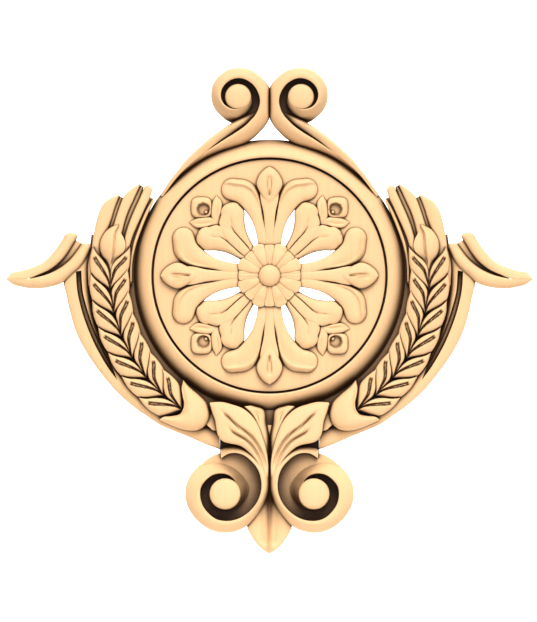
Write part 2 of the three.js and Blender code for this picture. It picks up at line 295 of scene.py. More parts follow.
@dataclass(frozen=True)
class Solid:
    """A closed surface: points on the paper with their height in metres, and faces by point number."""

    points: np.ndarray
    faces: np.ndarray
    caps: tuple[tuple[int, ...], ...] = ()

    def turned(self, degrees: float) -> Solid:
        """The same solid turned about the medallion's centre.

        Args:
            degrees: How far, anticlockwise.

        Returns:
            The turned solid.
        """
        a = math.radians(degrees)
        spin = np.array([[math.cos(a), math.sin(a), 0], [-math.sin(a), math.cos(a), 0], [0, 0, 1]])
        return replace(self, points=self.points @ spin)

    def reversed(self) -> Solid:
        """The same solid with its faces turned over."""
        return replace(self, faces=self.faces[:, ::-1], caps=tuple(cap[::-1] for cap in self.caps))

    def mirrored(self) -> Solid:
        """The same solid on the other side of the middle line, its faces turned over to stay outward."""
        return replace(self, points=self.points * np.array([-1, 1, 1])).reversed()

    def outward(self) -> Solid:
        """The same solid with its faces pointing outwards.

        They are turned over where the volume that they enclose, the sum of a . (b x c) over the triangles of
        each face's fan, is negative.

        Returns:
            The solid.
        """
        a, b, c, d = (self.points[self.faces[:, k]] for k in range(4))
        enclosed = np.sum(a * np.cross(b, c)) + np.sum(a * np.cross(c, d))
        for cap in self.caps:
            fan = self.points[list(cap)]
            enclosed += np.sum(fan[0] * np.cross(fan[1:-1], fan[2:]))
        return self if enclosed > 0 else self.reversed()

    def mesh(self, name: str) -> bpy.types.Mesh:
        """Puts the solid upright into a mesh, in metres: x stays, y becomes height, height becomes -y.

        Args:
            name: Name of the mesh.

        Returns:
            The mesh.
        """
        x, y, z = self.points.T
        upright = np.column_stack([x * UNIT, -z, y * UNIT]).astype(np.float32)
        mesh = bpy.data.meshes.new(name)
        faces = [tuple(face) for face in self.faces.tolist()] + [tuple(cap) for cap in self.caps]
        mesh.from_pydata(upright.tolist(), [], faces)
        mesh.update()
        return mesh


def skin(rings: np.ndarray) -> Solid:
    """Closes a stack of rings, each a closed loop of points, into a solid with flat ends.

    Args:
        rings: Array of shape (stations, points of a ring, 3).

    Returns:
        The solid, its faces pointing outwards for loops that run left to right over the front.
    """
    stations, around, _ = rings.shape
    number = np.arange(stations * around).reshape(stations, around)
    a, b = number[:-1], np.roll(number[:-1], -1, axis=1)
    c, d = np.roll(number[1:], -1, axis=1), number[1:]
    faces = np.stack([a, b, c, d], axis=-1).reshape(-1, 4)
    caps = (tuple(number[0][::-1].tolist()), tuple(number[-1].tolist()))
    return Solid(rings.reshape(-1, 3), faces, caps)


@dataclass(frozen=True)
class Stroke:
    """A form carved along a path, given by a spine with half widths or by its two edges.

    Edges with as many knots as each other are read in pairs: a knot lies straight across from its partner.
    """

    section: Section
    lift: Track
    spine: Spine = ()
    left: tuple[Point, ...] = ()
    right: tuple[Point, ...] = ()
    round_start: float = 0.0
    round_end: float = 0.0
    along: float = 2.0
    across: int = 17
    base: float = -PLANED_OFF

    def stations(self) -> tuple[np.ndarray, np.ndarray, np.ndarray, np.ndarray]:
        """Works out the stations of the form, with its rounded ends.

        A rounded end is a quarter ellipse: the middle moves on by round * sin(turn) while the width shrinks
        by cos(turn).

        Returns:
            Middle points, half-width vectors to the right, shares along, and turns.
        """
        if self.spine:
            count = max(int(chords(self.spine)[-1] / self.along), 3)
            path = curve(self.spine, count)
            middle, half = path[:, :2], np.maximum(path[:, 2:3], THINNEST_FORM)
            ahead = np.gradient(middle, axis=0)
            ahead /= np.linalg.norm(ahead, axis=1, keepdims=True)
            reach = np.column_stack([ahead[:, 1], -ahead[:, 0]]) * half
        else:
            near, far = chords(self.left), chords(self.right)
            paired = (near + far) / 2 if len(near) == len(far) else None
            count = max(int((near[-1] + far[-1]) / 2 / self.along), 3)
            a, b = curve(self.left, count, paired), curve(self.right, count, paired)
            middle, reach = (a + b) / 2, (b - a) / 2
            thin = np.linalg.norm(reach, axis=1, keepdims=True)
            reach = reach * np.maximum(thin, THINNEST_FORM) / np.maximum(thin, 1e-9)
        u = np.linspace(0.0, 1.0, len(middle))
        turn = np.zeros(len(middle))
        for length, end, sign in ((self.round_start, 0, -1.0), (self.round_end, -1, 1.0)):
            if not length:
                continue
            turns = np.radians(np.array(END_TURNS))
            out = np.array([-reach[end][1], reach[end][0]]) / np.linalg.norm(reach[end])
            places = middle[end] + sign * out * length * np.sin(turns)[:, None]
            widths = reach[end] * np.cos(turns)[:, None]
            if sign < 0:
                places, widths, turns = places[::-1], widths[::-1], turns[::-1]
                middle, reach = np.vstack([places, middle]), np.vstack([widths, reach])
                u, turn = np.concatenate([np.zeros(len(turns)), u]), np.concatenate([turns, turn])
            else:
                middle, reach = np.vstack([middle, places]), np.vstack([reach, widths])
                u, turn = np.concatenate([u, np.ones(len(turns))]), np.concatenate([turn, turns])
        return middle, reach, u, turn

    def solid(self) -> Solid:
        """Builds the closed solid between its base and the carved surface.

        A place s across, from -1 to 1, is middle + s * reach, at a height of lift * level * the relief's
        depth.

        Returns:
            The solid. A base above the surface makes it a cutter, whose floor the surface is.
        """
        middle, reach, u, turn = self.stations()
        even = np.linspace(-1, 1, self.across)
        s = np.sin(even * math.pi / 2) * CROWDING + even * (1 - CROWDING)
        grid = middle[:, None, :] + s[None, :, None] * reach[:, None, :]
        size = np.linalg.norm(reach, axis=1)[:, None]
        level = self.section.level(u[:, None], s[None, :], size, turn[:, None])
        height = track(self.lift, u)[:, None] * level * RELIEF_DEPTH
        front = np.concatenate([grid, height[..., None]], axis=2)
        back = np.stack([front[:, -1], front[:, 0]], axis=1)
        back[..., 2] = self.base
        return skin(np.concatenate([front, back], axis=1))


@dataclass(frozen=True)
class Disc:
    """A round or squarish boss: a grid of rings about its middle, each ring a superellipse.

    The level over the share r of the radius is edge + (top - edge) * (1 - r ** swell) ** (1 / swell). A bowl
    (x, y, width, depth) takes depth * (1 - (d / width) ** 2) ** 0.5 off within width of its own middle.
    """

    middle: Point
    radius: float
    top: float
    edge: float
    swell: float = 2.0
    squareness: float = 2.0
    spin: float = 0.0
    bowl: tuple[float, float, float, float] | None = None
    rings: int = 12
    sides: int = 48
    first_ring: float = 0.04

    def solid(self) -> Solid:
        """Builds the closed boss, from below the back up to its top.

        Returns:
            The solid. Its rings lie closer together towards the edge, as the sine of an even angle.
        """
        share = np.sin(np.linspace(self.first_ring, math.pi / 2, self.rings))[::-1]
        angle = np.linspace(0, 2 * math.pi, self.sides, endpoint=False)
        c, s = np.cos(angle), np.sin(angle)
        power = self.squareness
        outline = self.radius / (np.abs(c) ** power + np.abs(s) ** power) ** (1 / power)
        x, y = np.outer(share, outline * c), np.outer(share, outline * s)
        dome = np.clip(1 - share**self.swell, 0, 1) ** (1 / self.swell)
        level = np.repeat((self.edge + (self.top - self.edge) * dome)[:, None], self.sides, axis=1)
        if self.bowl:
            bowl_x, bowl_y, width, depth = self.bowl
            distance = np.hypot(x - bowl_x, y - bowl_y) / width
            level = level - depth * np.sqrt(np.clip(1 - distance**2, 0, 1))
        turn = math.radians(self.spin)
        px = self.middle[0] + x * math.cos(turn) - y * math.sin(turn)
        py = self.middle[1] + x * math.sin(turn) + y * math.cos(turn)
        rings = np.stack([px, py, level * RELIEF_DEPTH], axis=-1)
        foot = rings[:1].copy()
        foot[..., 2] = -PLANED_OFF
        return skin(np.concatenate([foot, rings], axis=0))


@dataclass(frozen=True)
class Turning:
    """A ring turned about the medallion's centre from a closed outline of radius and level."""

    outline: tuple[Point, ...]
    sides: int = 216

    def solid(self) -> Solid:
        """Builds the closed ring: each outline point is carried round the centre at its radius and level.

        Returns:
            The solid. A level of 0 lies below the back.
        """
        radius, level = np.asarray(self.outline, float).T
        height = np.where(level > 0, level * RELIEF_DEPTH, -PLANED_OFF)
        angle = np.linspace(0, 2 * math.pi, self.sides, endpoint=False)
        x, y = np.outer(np.cos(angle), radius), np.outer(np.sin(angle), radius)
        points = np.stack([x, y, np.broadcast_to(height, x.shape)], axis=-1)
        number = np.arange(points.shape[0] * points.shape[1]).reshape(points.shape[:2])
        a, b = number, np.roll(number, -1, axis=1)
        c, d = np.roll(b, -1, axis=0), np.roll(number, -1, axis=0)
        return Solid(points.reshape(-1, 3), np.stack([a, d, c, b], axis=-1).reshape(-1, 4))


Form = Stroke | Disc | Turning


@dataclass
class Ornament:
    """A sub-assembly of the carving: the forms that it raises and the cutters that it takes away."""

    side: Side = Side.BOTH

    def raised(self) -> list[Form]:
        """The forms that stand on the board."""
        return []

    def cut(self) -> list[Form]:
        """The forms that are cut out of it."""
        return []

    def both_sides(self, forms: Iterable[Form]) -> list[Solid]:
        """Builds forms, and their mirror images where the ornament stands on both sides.

        Args:
            forms: The forms of one side.

        Returns:
            The solids of both.
        """
        made = [form.solid() for form in forms]
        return made + [solid.mirrored() for solid in made] if self.side is Side.BOTH else made

    def raised_solids(self) -> list[Solid]:
        """Everything that the ornament raises, on both sides."""
        return self.both_sides(self.raised())

    def cut_solids(self) -> list[Solid]:
        """Everything that the ornament cuts away, on both sides."""
        return self.both_sides(self.cut())


@dataclass
class Medallion(Ornament):
    """The ring, with its quarter-round outside and the fine groove that parts it from the panel."""

    side: Side = Side.MIDDLE
    hole: float = 70.2
    panel_level: float = 0.5
    panel_edge: float = 0.44
    panel_fall: float = 43.0
    ring_level: float = 0.57
    ring_edge: float = 0.1
    ring_flat: float = 3.0
    ring_swell: float = 1.4
    groove_half: float = 1.3
    groove_floor: float = 0.5
    groove_level: float = 0.26
    groove_lip: float = 0.02
    panel_steps: int = 9
    roll_steps: int = 14

    def raised(self) -> list[Form]:
        """Turns the outline of panel, groove and ring.

        The panel falls with the square of the distance from its hole. The ring's outside is a superellipse:
        radius + width * sin(a), level edge + (top - edge) * (1 - sin(a) ** swell) ** (1 / swell).

        Returns:
            One turning.
        """
        fall, roll_over = self.panel_level - self.panel_edge, self.ring_level - self.ring_edge
        panel = [(r, self.panel_level - fall * ((r - self.hole) / self.panel_fall) ** 2)
                 for r in np.linspace(self.hole, PANEL_RADIUS - self.groove_half, self.panel_steps)]
        crest, swell = PANEL_RADIUS + self.ring_flat, self.ring_swell
        roll = [(crest + (RING_RADIUS - crest) * math.sin(a),
                 self.ring_edge + roll_over * (1 - math.sin(a) ** swell) ** (1 / swell))
                for a in np.linspace(0, math.pi / 2, self.roll_steps)]
        outline = [(self.hole, 0.0), *panel,
                   (PANEL_RADIUS - self.groove_floor, self.groove_level),
                   (PANEL_RADIUS + self.groove_floor, self.groove_level),
                   (PANEL_RADIUS + self.groove_half, self.ring_level - self.groove_lip), *roll,
                   (RING_RADIUS, 0.0)]
        return [Turning(tuple(outline))]


@dataclass
class Rosette(Ornament):
    """The pierced flower of the medallion: four fleurs, four lobed leaves, four corner flowers, and the hub.

    All are drawn as if they pointed up.
    """

    side: Side = Side.MIDDLE
    hub_lobes: int = 8
    stem: Stroke = Stroke(
        Section(left=0.94, right=0.94, swell=2.0), (0.66, 0.66, 0.66, 0.64),
        spine=((0, 24, 4.6), (0, 45, 4.6), (0, 62, 5.8), (0, 78, 9), (0, 90, 9)), along=3, across=9)
    bud: Stroke = Stroke(
        Section(left=0.84, right=0.84, swell=2.0,
                lines=(Line(0.0, (0.8, 1.3, 2.7, 2.4), -0.10, 0.20, 0.80, 0.10, 6.0),)),
        (0.62, 0.70, 0.73, 0.73, 0.71, 0.64),
        spine=((0, 69.5, 3.6), (0, 74, 5.0), (0, 80, 8), (0, 86, 11.2), (0, 91.5, 13), (0, 98, 11.3),
               (0, 104, 7.4), (0, 107.4, 3.6), (0, 109, 0.1)), along=1.5, across=21)
    petal: Stroke = Stroke(
        Section(left=(0.92, 0.9, 0.84, 0.8), right=(0.985, 0.93, 0.42, 0.7, 0.8),
                crest_at=(0.5, 0.1, -0.35, -0.4), swell=(2.0, 2.0, 1.8, 1.8),
                lines=(Step((0.2, 0.3, 0.5, 0.48), 0.55, 0.17, 0.3, 1, 0.35),
                       Line(1.0, 2.4, -0.10, 0.3, 1, 0.3))),
        (0.645, 0.65, 0.65, 0.64, 0.64, 0.64),
        left=((-11.1, 26), (-12, 34), (-14, 44.5), (-17, 53.2), (-20.6, 59.6), (-26, 66.4), (-32.4, 72.2),
              (-40.5, 75.3)),
        right=((-3.2, 26), (-3.6, 36), (-4.2, 50), (-5, 62), (-7.5, 77), (-13.5, 89), (-23, 95.2),
               (-34, 96.5)),
        round_end=10.8, along=1.9, across=23)
    lobe: Stroke = Stroke(
        Section(left=(0.97, 0.97, 0.95, 0.8), right=0.74, crest_at=(0.3, 0.3, 0.2, 0.0), swell=2.0,
                lines=(Line((0.0, -0.08, -0.2, -0.14, -0.12), (0.6, 0.9, 0.9, 0.8), -0.06, 0.06, 0.96, 0.15),
                       Line((-0.3, -0.45), (2, 4, 5), -0.02, 0.0, 1, 0.3))),
        (0.67, 0.67, 0.69, 0.71, 0.71),
        left=((-0.4, 26), (-0.4, 45), (-0.4, 60), (-0.2, 68), (2.0, 73.2), (8.6, 77.4)),
        right=((8.2, 26), (11.7, 39.5), (15.6, 48.6), (21.0, 56.2), (27.8, 63.2), (28.6, 71)),
        round_end=7.0, along=2.0, across=25)
    middle: Stroke = Stroke(
        Section(left=0.95, right=0.95, swell=2.0), (0.68, 0.69, 0.71, 0.68),
        spine=((0, 26, 3.6), (0, 44, 4.8), (0, 58, 4.8), (0, 70.5, 0.6)), along=3, across=13)
    leaflet: Stroke = Stroke(
        Section(left=0.9, right=0.84, crest_at=-0.2, swell=2.0,
                lines=(Step(0.3, 0.5, 0.07, 0.1, 0.95, 0.3), Line(0.15, 1.6, -0.05, 0.1, 0.95, 0.3))),
        (0.56, 0.6, 0.61, 0.59, 0.52),
        spine=((0.5, 72, 2.6), (4.3, 80.0, 4.8), (10.2, 84.8, 5.4), (15.6, 89.6, 4.4), (19.2, 94.4, 0.4)),
        along=1.6, across=15)
    flower: Disc = Disc((0, 96.2), 10.3, 0.64, 0.5, swell=3.4, squareness=3.6, spin=45,
                        bowl=(-1.9, -1.9, 6.5, 0.24), rings=13, sides=48)
    pearl: Disc = Disc((0, 89.4), 2.6, 0.56, 0.46, rings=6, sides=20)
    hub_lobe: Stroke = Stroke(
        Section(left=0.93, right=0.93, swell=2.0), (0.78, 0.83, 0.83, 0.76),
        spine=((0, 9, 2.4), (0, 18, 4.5), (0, 28.6, 7.0)), round_end=4.8, along=2.0, across=13)
    hub_rib: Stroke = Stroke(
        Section(left=0.975, right=0.975, swell=2.0,
                lines=(Line(0.42, 0.5, -0.022), Line(-0.42, 0.5, -0.022))),
        (0.79, 0.80, 0.79, 0.76),
        spine=((0, 9, 1.9), (0, 20, 3.5), (0, 29.6, 5.0)), round_end=1.4, along=3, across=15)
    hub_base: Disc = Disc((0, 0), HUB_RADIUS - 2.5, 0.72, 0.68, rings=4, sides=32)
    hub_button: Disc = Disc((0, 0), 11.0, 0.97, 0.76, swell=2.1, rings=10, sides=40)

    def fleur(self) -> list[Solid]:
        """The upright arm: a stem and a bud with its dimple, between two spoon-shaped petals."""
        petal = self.petal.solid()
        return [self.stem.solid(), petal, self.bud.solid(), petal.mirrored()]

    def leaf(self) -> list[Solid]:
        """A leaf of two lobes that part at a notch."""
        lobe = self.lobe.solid()
        return [lobe, lobe.mirrored(), self.middle.solid()]

    def corner_flower(self) -> list[Solid]:
        """A squarish flower with a dished eye and a pearl in it, between two curled leaflets."""
        leaflet = self.leaflet.solid()
        return [leaflet, leaflet.mirrored(), self.flower.solid(), self.pearl.solid()]

    def hub(self) -> list[Solid]:
        """A low base and a round button, with as many ribs as broad lobes between them in turn.

        Returns:
            The solids of the hub.
        """
        made = [self.hub_base.solid(), self.hub_button.solid()]
        pitch = 360 / self.hub_lobes
        for k in range(self.hub_lobes):
            made += [self.hub_rib.solid().turned(pitch * k), self.hub_lobe.solid().turned(pitch * (k + 0.5))]
        return made

    def raised_solids(self) -> list[Solid]:
        """Turns the arm, the leaf and the corner flower to their four places each, and adds the hub.

        Returns:
            The solids of the rosette.
        """
        made = [solid.turned(90 * k) for solid in self.fleur() for k in range(4)]
        diagonal = self.leaf() + self.corner_flower()
        made += [solid.turned(90 * k + 45) for solid in diagonal for k in range(4)]
        return made + self.hub()


@dataclass
class Volute(Ornament):
    """A scroll: a band between two spirals about its eye, the groove between its turns, and the button.

    The spirals are radii at angles about the eye. The band's level rises from its outer edge to its inner
    one. The leads are the stretches of the band's edges that run up to the spirals. No edge of a left scroll
    goes past width_limit. The button is radius, top and edge. The floor is x and y from the eye, radius and
    level.
    """

    eye: Point = (0.0, 0.0)
    outer: tuple[Point, ...] = ()
    inner: tuple[Point, ...] = ()
    lift: Track = 0.8
    outer_level: Track = 0.6
    inner_level: Track = 0.95
    crest_at: Track = 0.7
    swell: Track = 1.8
    button: tuple[float, float, float] = (13.0, 0.88, 0.8)
    floor: tuple[float, float, float, float] = (0.0, 0.0, 24.0, 0.36)
    width_limit: float = 0.3
    degrees_a_knot: float = 4.0
    outer_lead: tuple[Point, ...] = ()
    inner_lead: tuple[Point, ...] = ()

    def edge(self, spiral: tuple[Point, ...], count: int) -> tuple[Point, ...]:
        """Points of a spiral: its radius is a smooth curve over its angle, read at even angles.

        Args:
            spiral: Angle in degrees and radius, in the order the band winds.
            count: How many points.

        Returns:
            Points on the paper.
        """
        knots = np.asarray(spiral, float)
        sign = 1.0 if knots[-1, 0] > knots[0, 0] else -1.0
        where = np.linspace(knots[0, 0], knots[-1, 0], count)
        radius = hermite(knots[:, 1:], knots[:, 0] * sign, where * sign)[:, 0]
        angle = np.radians(where)
        x = self.eye[0] + radius * np.cos(angle)
        x = np.minimum(x, self.width_limit) if self.eye[0] < 0 else x
        return tuple(zip(x.tolist(), (self.eye[1] + radius * np.sin(angle)).tolist()))

    def band(self) -> Stroke:
        """Draws the band between its two edges, with a pair of knots for every few degrees of the turn.

        Returns:
            The band.
        """
        span = abs(self.outer[-1][0] - self.outer[0][0])
        count = int(span / self.degrees_a_knot)
        clockwise = self.outer[-1][0] < self.outer[0][0]
        outside = self.outer_lead + self.edge(self.outer, count)
        inside = self.inner_lead + self.edge(self.inner, count)
        section = Section(left=self.outer_level if clockwise else self.inner_level,
                          right=self.inner_level if clockwise else self.outer_level,
                          crest_at=self.crest_at if clockwise else negated(self.crest_at), swell=self.swell)
        first, second = (outside, inside) if clockwise else (inside, outside)
        return Stroke(section, self.lift, left=first, right=second, along=2.2, across=16)

    def raised(self) -> list[Form]:
        """Builds the band, the floor of its groove and the button in its eye.

        Returns:
            The three forms.
        """
        dx, dy, radius, level = self.floor
        size, top, edge = self.button
        return [self.band(), Disc((self.eye[0] + dx, self.eye[1] + dy), radius, level, level, rings=3),
                Disc(self.eye, size, top, edge, swell=2.6, rings=14, sides=56)]


def negated(values: Track) -> Track:
    """The same track with its sign changed."""
    return -values if isinstance(values, (int, float)) else tuple(-v for v in values)


def crown_volute() -> Volute:
    """Draws the scroll of the crown, whose band comes up along the ring and winds anticlockwise to its eye.

    Returns:
        The left one.
    """
    return Volute(
        eye=(-31.5, 178.5),
        outer_lead=((-106.5, 79), (-94.5, 94.5), (-83, 104.5), (-72, 112.4), (-61, 118.6), (-49.5, 123.5),
                    (-38, 127), (-26, 131), (-15, 138)),
        inner_lead=((-107, 82), (-94.5, 99), (-84.5, 108.5), (-74.5, 116.5), (-64.5, 123.5), (-54.5, 129.8),
                    (-44.5, 136.3), (-34.5, 142.5), (-24.5, 149.5)),
        outer=((-57.5, 41.3), (-45, 39.6), (-33.7, 37.9), (-10, 33), (15.9, 32.8), (43.7, 30.4),
               (66.4, 30), (88, 29.2), (106, 29.1), (129.3, 28.4), (152.5, 28.2), (173.7, 27.2), (193, 26.7),
               (212.5, 26.1), (231.3, 25.6), (249, 25.2), (268, 23.6), (284, 20.6), (312.7, 17.7),
               (345, 15.5), (373, 13.4)),
        inner=((-57.5, 26.1), (-33, 23.9), (-7.8, 22.2), (20.2, 20.2), (51.3, 19.2),
               (87, 19), (122.8, 18.4), (157, 17.9), (183.4, 17), (216.9, 15), (250.2, 12.6), (284, 11.4),
               (312, 10.6), (345, 10), (373, 9.6)),
        lift=(0.3, 0.4, 0.5, 0.58, 0.64, 0.74, 0.82, 0.86, 0.87, 0.86, 0.86, 0.86),
        outer_level=(0.5, 0.36, 0.3, 0.36, 0.6, 0.7, 0.6, 0.34, 0.7),
        inner_level=0.97, crest_at=(0.6, 0.7, 0.8, 0.75, 0.6, 0.5, 0.6, 0.85, 0.85),
        swell=(1.6, 1.6, 1.6, 1.6, 1.8, 1.8, 1.6, 1.2, 1.3),
        button=(13.2, 0.9, 0.74), floor=(2, -3, 24.5, 0.3))


def foot_volute() -> Volute:
    """Draws the scroll of the foot, which winds clockwise from under the acanthus leaf to its eye.

    Returns:
        The left one.
    """
    return Volute(
        eye=(-44.5, -218.5),
        outer=((96, 45), (76, 50), (50, 51), (30, 50), (7.7, 45), (-4.1, 42.1), (-20.7, 39.6), (-38.7, 38.4),
               (-55.5, 38.8), (-72, 38.9), (-90, 39), (-108, 38.9), (-126.6, 38.6), (-145.5, 38.8),
               (-164, 39.6), (-181.4, 40), (-197.5, 39.8), (-212.5, 39.1), (-229.2, 38.3), (-246.2, 37.2),
               (-260.3, 35.5), (-282.3, 32.8), (-299, 30.9), (-317.9, 28.3), (-337.4, 26), (-355, 23.1),
               (-381.3, 19.3), (-414.5, 17.2), (-440, 16)),
        inner=((96, 35.6), (85.7, 40.1), (76.3, 42.2), (65.2, 43), (49.8, 41.9), (36, 40.8), (21.3, 38.6),
               (4.8, 36.1), (-14, 33), (-34.2, 30.2), (-58, 28.3), (-85.8, 27.1), (-107.4, 26.7),
               (-131.8, 25.5), (-156.5, 25.1), (-177.7, 25), (-196.3, 25), (-216.4, 23.6), (-237.7, 22.5),
               (-259, 20.9), (-279, 19.2), (-298, 17), (-317.5, 14.6), (-345, 13.2), (-381, 12.5),
               (-440, 12)),
        lift=(0.46, 0.66, 0.84, 0.9, 0.9, 0.9, 0.92, 0.92, 0.9, 0.86, 0.84, 0.8, 0.86, 0.92),
        outer_level=(0.62, 0.66, 0.64, 0.58, 0.52, 0.5, 0.54, 0.58, 0.54, 0.34, 0.2, 0.24, 0.4, 0.7),
        inner_level=0.96, crest_at=(0.75, 0.7, 0.65, 0.65, 0.65, 0.84, 0.9, 0.85),
        swell=(1.8, 1.8, 1.6, 1.5, 1.6, 0.95, 0.7, 1.0),
        button=(15.6, 0.98, 0.8), floor=(4, 4, 38, 0.28))


@dataclass
class CrownTail(Ornament):
    """The upper strand of a crown scroll's tail, which falls into the groove beside the scroll's own band."""

    strand: Stroke = Stroke(
        Section(left=0.7, right=(0.7, 0.52, 0.62, 0.8, 0.92, 0.97, 0.97), crest_at=(-0.4, -0.5, -0.4, 0.0),
                swell=(1.6, 1.6, 1.8, 2.0)),
        (0.4, 0.6, 0.64, 0.63, 0.61, 0.57, 0.52, 0.44, 0.3),
        left=((-16, 164), (-27, 159), (-35.5, 154), (-44.5, 148.5), (-54.5, 141.5), (-64.5, 133.5),
              (-74.5, 124.5), (-84.5, 114.5), (-92.5, 104.5), (-99.5, 95.5), (-109.5, 79.5)),
        right=((-12, 158), (-20, 150.5), (-29, 145), (-38.5, 139), (-48, 133), (-58, 126.5),
               (-68, 119.5), (-78, 112), (-87.5, 103.5), (-95, 95), (-106.5, 79)), along=2.2, across=19)

    def raised(self) -> list[Form]:
        """The strand, from the floor of the scroll's groove to its thin end beside the ring."""
        return [self.strand]


@dataclass
class AcanthusLeaf(Ornament):
    """The leaf over the foot scroll with its two veins, which closes into a stem, and the lobe behind it."""

    leaf: Stroke = Stroke(
        Section(left=0.84, right=0.84, swell=2.4,
                lines=(Line((-0.05, 0.1, 0.25, 0.35), (0.9, 1.7, 1.8, 1.1), -0.11, 0.11, 0.86, 0.12, 2.4),
                       Line((-0.35, -0.3, -0.3, -0.35), (0.9, 1.7, 1.8, 1.1), -0.11, 0.26, 0.88, 0.12, 2.4))),
        (0.72, 0.8, 0.84, 0.86, 0.88, 0.86, 0.5),
        left=((-60, -128.5), (-57.5, -137), (-54.5, -145), (-53.2, -153), (-51.5, -160), (-46.5, -165.8),
              (-38.5, -168.2), (-31.5, -169.5), (-25.5, -172.5), (-17.5, -180), (-11.5, -189), (-8, -203),
              (-6.5, -216)),
        right=((-59, -126.8), (-47.5, -126.5), (-37.5, -129), (-27.5, -132.5), (-19.5, -138.5),
               (-12.5, -147.5), (-7.5, -159.5), (-4.2, -169.5), (-2.0, -179.5), (-0.9, -190), (-0.8, -203),
               (-1.1, -216)),
        along=2.0, across=33)
    lobe: Stroke = Stroke(
        Section(left=0.8, right=0.6, crest_at=-0.4, swell=2.0,
                lines=(Line(-0.15, 0.7, -0.05, 0.02, 0.5, 0.2), Line(0.1, 0.7, -0.05, 0.02, 0.4, 0.2))),
        (0.62, 0.66, 0.68, 0.66),
        left=((-27, -131), (-20, -139), (-14, -150), (-9, -163), (-6, -180)),
        right=((-17, -130), (-5.6, -134.5), (-3.4, -148), (-0.7, -161.5), (-0.3, -180)), along=2.0, across=19)

    def raised(self) -> list[Form]:
        """The leaf and the lobe behind it."""
        return [self.leaf, self.lobe]


@dataclass
class FootLeaf(Ornament):
    """The pointed leaf at the foot, with a bright middle rib and a valley on each side of it."""

    side: Side = Side.MIDDLE
    leaf: Stroke = Stroke(
        Section(left=0.78, right=0.78, swell=2.2,
                lines=(Line(0.0, (2.5, 3.5, 3.5, 2.5), 0.62, 0, 0.99, 0.1, 1.0),
                       Line(0.0, (6, 8.5, 8.5, 5), -0.46, 0, 0.99, 0.2))),
        (0.5, 0.52, 0.52, 0.5, 0.44),
        spine=((0, -205, 6), (0, -222, 10), (0, -238, 18), (0, -250.5, 22.5), (0, -255.5, 20.8),
               (0, -261.5, 17.6), (0, -268.5, 12.6), (0, -274.5, 6.4), (0, -278.3, 0.2)),
        along=1.5, across=33)
    tongue: Stroke = Stroke(
        Section(left=0.9, right=0.9), (0.46, 0.46, 0.42),
        spine=((0, -149.6, 3.1), (0, -155, 2.3), (0, -161.5, 0.2)), along=1.5, across=7)

    def raised(self) -> list[Form]:
        """The leaf, and the small tongue under the ring."""
        return [self.leaf, self.tongue]


@dataclass
class Flutes(Ornament):
    """The three broad flutes and the thin rib of a shoulder, which all follow the ring."""

    shape: Section = Section(left=0.8, right=0.84, crest_at=-0.1, swell=2.2)
    outer: Stroke = Stroke(
        shape, (0.5, 0.52, 0.54, 0.52),
        left=((-181, -10), (-181.6, 12), (-177.8, 30), (-175.8, 42), (-172.5, 57), (-169.5, 66),
              (-164.5, 73.5), (-158, 78), (-150.2, 81)),
        right=((-168, -10), (-168, 12), (-165.5, 30), (-161.5, 45), (-157.5, 58), (-154.5, 68),
               (-149.6, 80.6)),
        along=3.2, across=13)
    middle: Stroke = Stroke(
        shape, (0.52, 0.54, 0.56, 0.54),
        left=((-166, -10), (-165.5, 12), (-163, 30), (-157, 48), (-152.5, 62), (-148.5, 73.5), (-145.6, 79.5),
              (-141.5, 83.8), (-136.5, 87.8), (-129, 92.2)),
        right=((-154, -10), (-154.5, 12), (-152.5, 28), (-148, 40), (-145.2, 52), (-141.2, 64), (-135.2, 77),
               (-131.2, 86), (-128.4, 91.8)),
        along=3.2, across=13)
    inner: Stroke = Stroke(
        shape, (0.54, 0.56, 0.58, 0.54),
        left=((-150, -10), (-150, 10), (-148.5, 26), (-145, 39.5), (-140.3, 53.5), (-135.3, 65.5),
              (-130.3, 76.5), (-126.2, 86), (-124.5, 89.4)),
        right=((-142, -10), (-142.4, 10), (-141, 24), (-138, 36), (-133.5, 47.5), (-128.5, 58.5),
               (-123.5, 69.5), (-118.8, 79.5), (-118, 83)),
        round_end=3.4, along=3.2, across=13)
    rib: Stroke = Stroke(
        Section(left=0.85, right=0.85), (0.4, 0.42, 0.44, 0.44),
        spine=((-139, -6, 1.4), (-138.6, 14, 1.8), (-135.4, 30, 1.9), (-130, 46, 2.0), (-123, 63, 2.0),
               (-117, 74.5, 1.4)), round_end=1.6, along=2.5, across=7)
    gap_floor: Section = Section(left=0.7, right=0.7, swell=2.0)
    gaps: tuple[tuple[float, Spine], ...] = (
        (0.42, ((-167, -8, 4), (-166.8, 14, 4), (-164.3, 30, 4), (-158, 49.5, 4), (-154.5, 61, 4),
                (-151, 71.5, 3.6), (-148.0, 78.5, 2.4))),
        (0.42, ((-152, -8, 4), (-152.5, 12, 4), (-150.5, 27, 4), (-146.5, 39.5, 4), (-143, 52.5, 4),
                (-138.5, 64.5, 4), (-133, 77, 4), (-129.6, 85.5, 3), (-127.6, 89.6, 2.2))),
        (0.36, ((-141, -8, 4), (-140.5, 14, 4), (-138, 27.5, 4), (-131.5, 46.5, 4), (-125.5, 61.5, 4),
                (-121, 72.5, 4), (-118.8, 78, 3))))

    def raised(self) -> list[Form]:
        """Gathers the flutes and the rib, whose edges meet at their tips, and the sunk floors of the gaps.

        Returns:
            The forms of one shoulder.
        """
        floors = [Stroke(self.gap_floor, lift, spine=spine, along=5, across=5) for lift, spine in self.gaps]
        return [self.outer, self.middle, self.inner, self.rib, *floors]


